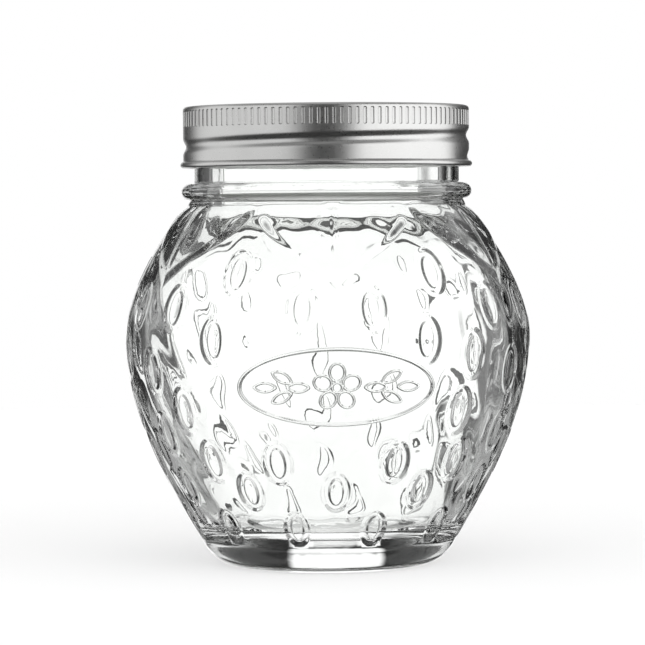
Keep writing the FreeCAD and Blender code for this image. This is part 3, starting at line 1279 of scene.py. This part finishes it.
    def build(self, finish: ClearGlass) -> bpy.types.Object:
        """Builds the glass body.

        Args:
            finish: Its glass.

        Returns:
            The finished piece.
        """
        mesh = bmesh.new()
        layer = mesh.verts.layers.float_vector.new("true_normal")
        features = self.relief()
        turn_outline(mesh, self.upper_outline(), self.columns)
        self.cut_thread(mesh)
        self.ripple_inside(mesh, features)
        turn_outline(mesh, self.foot_outline(), self.columns)
        self.outer_wall(mesh, features)
        bmesh.ops.remove_doubles(mesh, verts=mesh.verts, dist=MERGE_WITHIN * MM)
        bmesh.ops.recalc_face_normals(mesh, faces=mesh.faces)
        mesh.normal_update()
        open_edges = sum(not edge.is_manifold for edge in mesh.edges)
        normals = [Vector(v[layer]) if any(v[layer]) else v.normal.copy() for v in mesh.verts]
        LOG.info("glass_jar: %d faces, %d open edges", len(mesh.faces), open_edges)
        piece = placed(mesh, "glass_jar", finish.material())
        piece.data.attributes.remove(piece.data.attributes["true_normal"])
        piece.data.normals_split_custom_set_from_vertices(normals)
        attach(piece, "root")
        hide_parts("jar")
        return piece


# ---- the lid -------------------------------------------------------------------------------


@dataclass(frozen=True)
class ScrewBand:
    """The screw band: a pressed ring of tinplate with a slotted grip, rolled thread and curl."""

    top: float = 114.7
    length: float = 15.3
    radius: float = 36.0
    sheet: float = 0.35
    hole_radius: float = 29.0
    corner: float = 0.9
    skirt_inset: float = 0.1
    curl_radius: float = 0.78
    curl_inset: float = 0.15  # middle of the curl, inside the grip's radius
    curl_turn: tuple[float, float] = (80, -180)
    curl_reach: tuple[float, float] = (0.75, 0.4)  # where the skirt's two faces meet the curl
    flat_step: float = 1.5
    skirt_step: float = 0.35
    corner_steps: int = 6
    curl_steps: int = 14
    # grip
    slot_count: int = 120
    slot_top: float = 1.0
    slot_length: float = 4.2
    slot_round: float = 0.36
    slot_round_steps: int = 3
    # each step of a slot: how far it goes in from the last outline, and how far outwards
    slot_steps: tuple[tuple[float, float], ...] = ((0.06, -0.12), (0.08, -0.1), (0.1, -0.04))
    # rolled thread
    thread_pitch: float = 5.3
    thread_depth: float = 0.75
    thread_reach: float = 2.0
    thread_height: float = 106.0
    thread_from: float = -300.0
    thread_to: float = 200.0
    thread_fade: float = 40.0  # angle over which each end gets shallower
    thread_foot: float = 0.5  # the groove reaches this far below the curl's top
    foot_fade: float = 1.2

    @property
    def skirt(self) -> float:
        """Radius of the skirt's outside."""
        return self.radius - self.skirt_inset

    @property
    def slot_low(self) -> float:
        """Height of the slots' lower ends."""
        return self.top - self.slot_top - self.slot_length

    def section(self) -> Profile:
        """Draws the sheet: down the outside, round the curl and up the inside.

        Returns:
            Radius and height of each point.
        """
        skirt, low = self.skirt, self.slot_low
        flat = skirt - self.corner
        curl = (self.radius - self.curl_inset, self.top - self.length + self.curl_radius)
        outside = joined(
            straight((self.hole_radius, self.top), (flat, self.top), self.flat_step),
            arc((flat, self.top - self.corner), self.corner, 90, 0, self.corner_steps),
            [(skirt, self.top - self.slot_top), (skirt, low)],
            straight((skirt, low), (skirt, curl[1] + self.curl_reach[0]), self.skirt_step),
            arc(curl, self.curl_radius, *self.curl_turn, self.curl_steps),
        )
        inner = skirt - self.sheet
        inside = joined(
            straight((inner, curl[1] + self.curl_reach[1]), (inner, low), self.skirt_step),
            [(inner, self.top - self.slot_top), (inner, self.top - self.corner)],
            [(flat, self.top - self.sheet), (self.hole_radius, self.top - self.sheet)],
        )
        return joined(outside, inside)

    def groove(self, angle: float, height: float) -> float:
        """How far the rolled thread draws the skirt in.

        Args:
            angle: Degrees to the right of the front.
            height: Millimetres above the table.

        Returns:
            The depth there.
        """
        depth = 0.0
        for turn in (-1, 0, 1):
            whole = angle + turn * FULL_TURN
            if self.thread_from < whole < self.thread_to:
                middle = self.thread_height + self.thread_pitch * whole / FULL_TURN
                spare = min(whole - self.thread_from, self.thread_to - whole)
                ends = min(1.0, spare / self.thread_fade)
                offset = abs(height - middle) / self.thread_reach
                if offset < 1:
                    depth = max(depth, ends * (0.5 + 0.5 * math.cos(math.pi * offset)))
        return depth * self.thread_depth

    def roll_thread(self, mesh: bmesh.types.BMesh) -> None:
        """Draws the thread's groove into the skirt.

        Args:
            mesh: The turned band.
        """
        low = self.top - self.length + 2 * self.curl_radius - self.thread_foot
        for vert in mesh.verts:
            x, y, z = (part / MM for part in vert.co)
            if not low < z < self.slot_low + MERGE_WITHIN:
                continue
            radius = math.hypot(x, y)
            fade = min(1.0, (z - low) / self.foot_fade)
            depth = self.groove(math.degrees(math.atan2(x, -y)), z) * fade
            vert.co.x *= (radius - depth) / radius
            vert.co.y *= (radius - depth) / radius

    def is_slot(self, face: bmesh.types.BMFace) -> bool:
        """Tells whether a face lies where a slot of the grip goes.

        Args:
            face: A face of the turned band.

        Returns:
            True for every second column of the grip's outside.
        """
        centre = face.calc_center_median() / MM
        middle = self.slot_low + self.slot_length / 2
        turn = math.degrees(math.atan2(centre.x, -centre.y)) / FULL_TURN
        column = round(turn * 2 * self.slot_count - 0.5)
        outside = math.hypot(centre.x, centre.y) > self.skirt - self.sheet / 3
        return outside and abs(centre.z - middle) < self.sheet / 3 and column % 2 == 0

    def press_slots(self, mesh: bmesh.types.BMesh) -> None:
        """Presses the upright slots of the grip into the skirt.

        Args:
            mesh: The turned band.
        """
        corners = list({vert for face in mesh.faces if self.is_slot(face) for vert in face.verts})
        bmesh.ops.bevel(
            mesh,
            geom=corners,
            offset=self.slot_round * MM,
            offset_type="OFFSET",
            affect="VERTICES",
            segments=self.slot_round_steps,
            profile=0.5,
            material=-1,
        )
        slots = [face for face in mesh.faces if self.is_slot(face)]
        for face in slots:
            for edge in face.edges:
                edge.smooth = False
        for inset, rise in self.slot_steps:
            bmesh.ops.inset_individual(
                mesh, faces=slots, thickness=inset * MM, depth=rise * MM, use_even_offset=True
            )
        LOG.info("screw_band_metal: %d slots", len(slots))

    def build(self, finish: SatinTinplate) -> bpy.types.Object:
        """Builds the screw band.

        Args:
            finish: Its metal.

        Returns:
            The finished piece.
        """
        mesh = bmesh.new()
        turn_outline(mesh, self.section(), self.slot_count * 2, closed=True)
        bmesh.ops.remove_doubles(mesh, verts=mesh.verts, dist=MERGE_WITHIN * MM)
        bmesh.ops.recalc_face_normals(mesh, faces=mesh.faces)
        self.press_slots(mesh)
        self.roll_thread(mesh)
        open_edges = sum(not edge.is_manifold for edge in mesh.edges)
        LOG.info("screw_band_metal: %d faces, %d open edges", len(mesh.faces), open_edges)
        piece = placed(mesh, "screw_band_metal", finish.material())
        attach(piece, "root")
        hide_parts("screw_band")
        return piece


@dataclass(frozen=True)
class Lid:
    """The flat lid disc and the seal under its edge, whose shapes come with the frame."""

    disc: SatinTinplate = SatinTinplate(
        "stone_finish_tinplate_of_the_lid", "#D2D2D1", "#CACAC9", 0.32
    )
    seal: SealCompound = SealCompound()

    def dress(self, nodes: dict[str, bpy.types.Object]) -> None:
        """Gives the disc and the seal their finishes.

        Args:
            nodes: The frame's pieces by name.
        """
        for name, finish in (("lid_disc", self.disc), ("lid_seal", self.seal)):
            materials = nodes[name].data.materials
            materials.clear()
            materials.append(finish.material())
            LOG.info("%s: %s", name, materials[0].name)


# ---- the studio ----------------------------------------------------------------------------


@dataclass(frozen=True)
class SoftBox:
    """An evenly lit panel a long way off, as wide and high as the angles that it fills."""

    turn: float  # from straight behind the jar, towards the right
    half_width: float
    low: float
    high: float
    level: float
    edge: float = 4.0  # width of its soft edge

    def shine(self, tree: bpy.types.NodeTree, place: bpy.types.NodeSocket) -> bpy.types.NodeSocket:
        """Adds the panel to the world.

        Args:
            tree: The world's node tree.
            place: The direction that a ray leaves in.

        Returns:
            How bright the panel is in that direction.
        """
        turned = add_node(
            tree,
            "ShaderNodeVectorRotate",
            {"rotation_type": "Z_AXIS"},
            {"Angle": math.radians(self.turn)},
            {"Vector": place},
        )
        parts = add_node(tree, "ShaderNodeSeparateXYZ", links={0: turned.outputs[0]})
        side = add_node(
            tree,
            "ShaderNodeMath",
            {"operation": "ARCTAN2"},
            links={0: parts.outputs["X"], 1: parts.outputs["Y"]},
        )
        rise = add_node(
            tree, "ShaderNodeMath", {"operation": "ARCSINE"}, links={0: parts.outputs["Z"]}
        )
        middle, half = (self.low + self.high) / 2, (self.high - self.low) / 2
        shares = []
        for reach, centre, source in ((self.half_width, 0.0, side), (half, middle, rise)):
            off = add_node(
                tree,
                "ShaderNodeMath",
                {"operation": "SUBTRACT"},
                {1: math.radians(centre)},
                {0: source.outputs[0]},
            )
            away = add_node(
                tree, "ShaderNodeMath", {"operation": "ABSOLUTE"}, links={0: off.outputs[0]}
            )
            share = add_node(
                tree,
                "ShaderNodeMapRange",
                {"interpolation_type": "SMOOTHSTEP"},
                {
                    "From Min": math.radians(reach + self.edge / 2),
                    "From Max": math.radians(reach - self.edge / 2),
                    "To Min": 0.0,
                    "To Max": 1.0,
                },
                {"Value": away.outputs[0]},
            )
            shares.append(share.outputs[0])
        level = shares[0]
        for values, links in (({}, {1: shares[1]}), ({1: self.level}, {})):
            product = add_node(
                tree, "ShaderNodeMath", {"operation": "MULTIPLY"}, values, {0: level, **links}
            )
            level = product.outputs[0]
        return level


@dataclass(frozen=True)
class Studio:
    """A pale floor, a white background, soft lamps at both sides and the camera."""

    floor_size: float = 1200.0
    floor_sides: int = 96
    fill: float = 1.0
    paper: str = "#F7F7F7"
    paper_glow: float = 1.1  # part of what the eye sees of the floor is this, and the rest is lit
    paper_share: float = 0.5
    dark: float = 0.03
    boxes: tuple[SoftBox, ...] = (
        SoftBox(0, 14, -90, 12, 1.15, edge=3),
        SoftBox(112, 50, -24, 44, 1.5, edge=12),
        SoftBox(-102, 54, -24, 44, 1.0, edge=20),
        SoftBox(0, 62, 24, 72, 0.6, edge=16),
        SoftBox(0, 200, 56, 100, 0.5, edge=16),
    )
    seen_through: tuple[SoftBox, ...] = (  # what clear glass shows of the room
        SoftBox(0, 14, -90, 12, 1.15, edge=3),
        SoftBox(180, 116, -90, 44, 1.0, edge=24),
        SoftBox(0, 200, -110, -12, 0.42, edge=8),
        SoftBox(0, 200, -130, -36, 1.0, edge=14),
    )
    eye_height: float = 91.2
    distance: float = 780.0
    turn: float = -2.5  # the camera stands this far to the right of the front
    aim: tuple[float, float] = (-1.25, 60.4)  # right of the axis and height of the picture's middle
    lean: float = -0.45
    lens: float = 172.96
    sensor: float = 36.0
    clip: tuple[float, float] = (0.05, 50.0)
    bounces: tuple[int, int] = (24, 12)  # light's turns in the glass, and off the metal

    def camera(self) -> None:
        """Sets the camera up."""
        data = bpy.data.cameras.new("camera")
        data.lens, data.sensor_width = self.lens, self.sensor
        data.clip_start, data.clip_end = self.clip
        camera = bpy.data.objects.new("camera", data)
        bpy.context.scene.collection.objects.link(camera)
        turn = math.radians(self.turn)
        place = Vector((math.sin(turn), -math.cos(turn), 0)) * self.distance
        place.z = self.eye_height
        right = Vector((math.cos(turn), math.sin(turn), 0))
        target = right * self.aim[0] + Vector((0, 0, self.aim[1]))
        look = (target - place).to_track_quat("-Z", "Y").to_matrix().to_4x4()
        roll = Matrix.Rotation(math.radians(self.lean), 4, "Z")
        camera.matrix_world = Matrix.Translation(place * MM) @ look @ roll
        bpy.context.scene.camera = camera

    def light(
        self, tree: bpy.types.NodeTree, way: bpy.types.NodeSocket, boxes: Sequence[SoftBox]
    ) -> bpy.types.NodeSocket:
        """Adds panels to the world, with dark between them.

        Args:
            tree: The node tree to add to.
            way: The direction that a ray leaves in.
            boxes: The panels.

        Returns:
            How bright the room is in that direction.
        """
        level = add_node(tree, "ShaderNodeValue")
        level.outputs[0].default_value = self.dark
        brightest = level.outputs[0]
        for box in boxes:
            brightest = add_node(
                tree,
                "ShaderNodeMath",
                {"operation": "MAXIMUM"},
                links={0: brightest, 1: box.shine(tree, way)},
            ).outputs[0]
        return brightest

    def world(self) -> None:
        """Lights the room, and shows the camera a white one."""
        world = bpy.data.worlds.new("studio")
        bpy.context.scene.world = world
        world.use_nodes = True
        tree = world.node_tree
        tree.nodes.clear()
        path = add_node(tree, "ShaderNodeLightPath")
        place = add_node(tree, "ShaderNodeTexCoord")
        shone, through = (
            add_node(
                tree,
                "ShaderNodeBackground",
                values={"Color": (1, 1, 1, 1)},
                links={"Strength": self.light(tree, place.outputs["Generated"], boxes)},
            )
            for boxes in (self.boxes, self.seen_through)
        )
        studio = add_node(
            tree,
            "ShaderNodeMixShader",
            links={
                0: path.outputs["Is Transmission Ray"],
                1: shone.outputs[0],
                2: through.outputs[0],
            },
        )
        white, fill = (
            add_node(
                tree,
                "ShaderNodeBackground",
                values={"Color": (1, 1, 1, 1), "Strength": level},
            )
            for level in (1.0, self.fill)
        )
        seen = add_node(
            tree,
            "ShaderNodeMixShader",
            links={0: path.outputs["Is Camera Ray"], 1: studio.outputs[0], 2: white.outputs[0]},
        )
        lit = add_node(
            tree,
            "ShaderNodeMixShader",
            links={0: path.outputs["Is Diffuse Ray"], 1: seen.outputs[0], 2: fill.outputs[0]},
        )
        add_node(tree, "ShaderNodeOutputWorld", links={"Surface": lit.outputs[0]})

    def floor(self) -> None:
        """Lays the pale floor, which takes the jar's shadow."""
        mesh = bmesh.new()
        bmesh.ops.create_circle(
            mesh, cap_ends=True, segments=self.floor_sides, radius=self.floor_size / 2 * MM
        )
        material, tree = fresh_material("matt_white_paper")
        path = add_node(tree, "ShaderNodeLightPath")
        paper = add_node(
            tree, "ShaderNodeBsdfDiffuse", values={"Color": linear(self.paper), "Roughness": 1.0}
        )
        backlit = add_node(
            tree, "ShaderNodeEmission", values={"Color": (1, 1, 1, 1), "Strength": self.paper_glow}
        )
        pale = add_node(
            tree,
            "ShaderNodeMixShader",
            values={0: self.paper_share},
            links={1: paper.outputs[0], 2: backlit.outputs[0]},
        )
        # The room goes on below the floor for what the glass and the metal show of it.
        through = add_node(tree, "ShaderNodeBsdfTransparent")
        seen = add_node(
            tree,
            "ShaderNodeMixShader",
            links={0: path.outputs["Is Camera Ray"], 1: through.outputs[0], 2: pale.outputs[0]},
        )
        add_node(tree, "ShaderNodeOutputMaterial", links={"Surface": seen.outputs[0]})
        piece = placed(mesh, "floor", material)

    def build(self) -> None:
        """Builds the studio."""
        self.world()
        self.floor()
        self.camera()
        scene = bpy.context.scene
        scene.view_settings.view_transform = "Standard"
        scene.cycles.max_bounces = scene.cycles.transmission_bounces = self.bounces[0]
        scene.cycles.glossy_bounces = self.bounces[1]


def main() -> None:
    """Loads the frame, builds each piece round it and logs how many faces the new pieces have."""
    logging.basicConfig(level=logging.INFO, format="%(name)s: %(message)s")
    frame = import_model()
    GlassJar().build(ClearGlass())
    ScrewBand().build(SatinTinplate())
    Lid().dress(frame["nodes"])
    Studio().build()


if __name__ == "__main__":
    main()
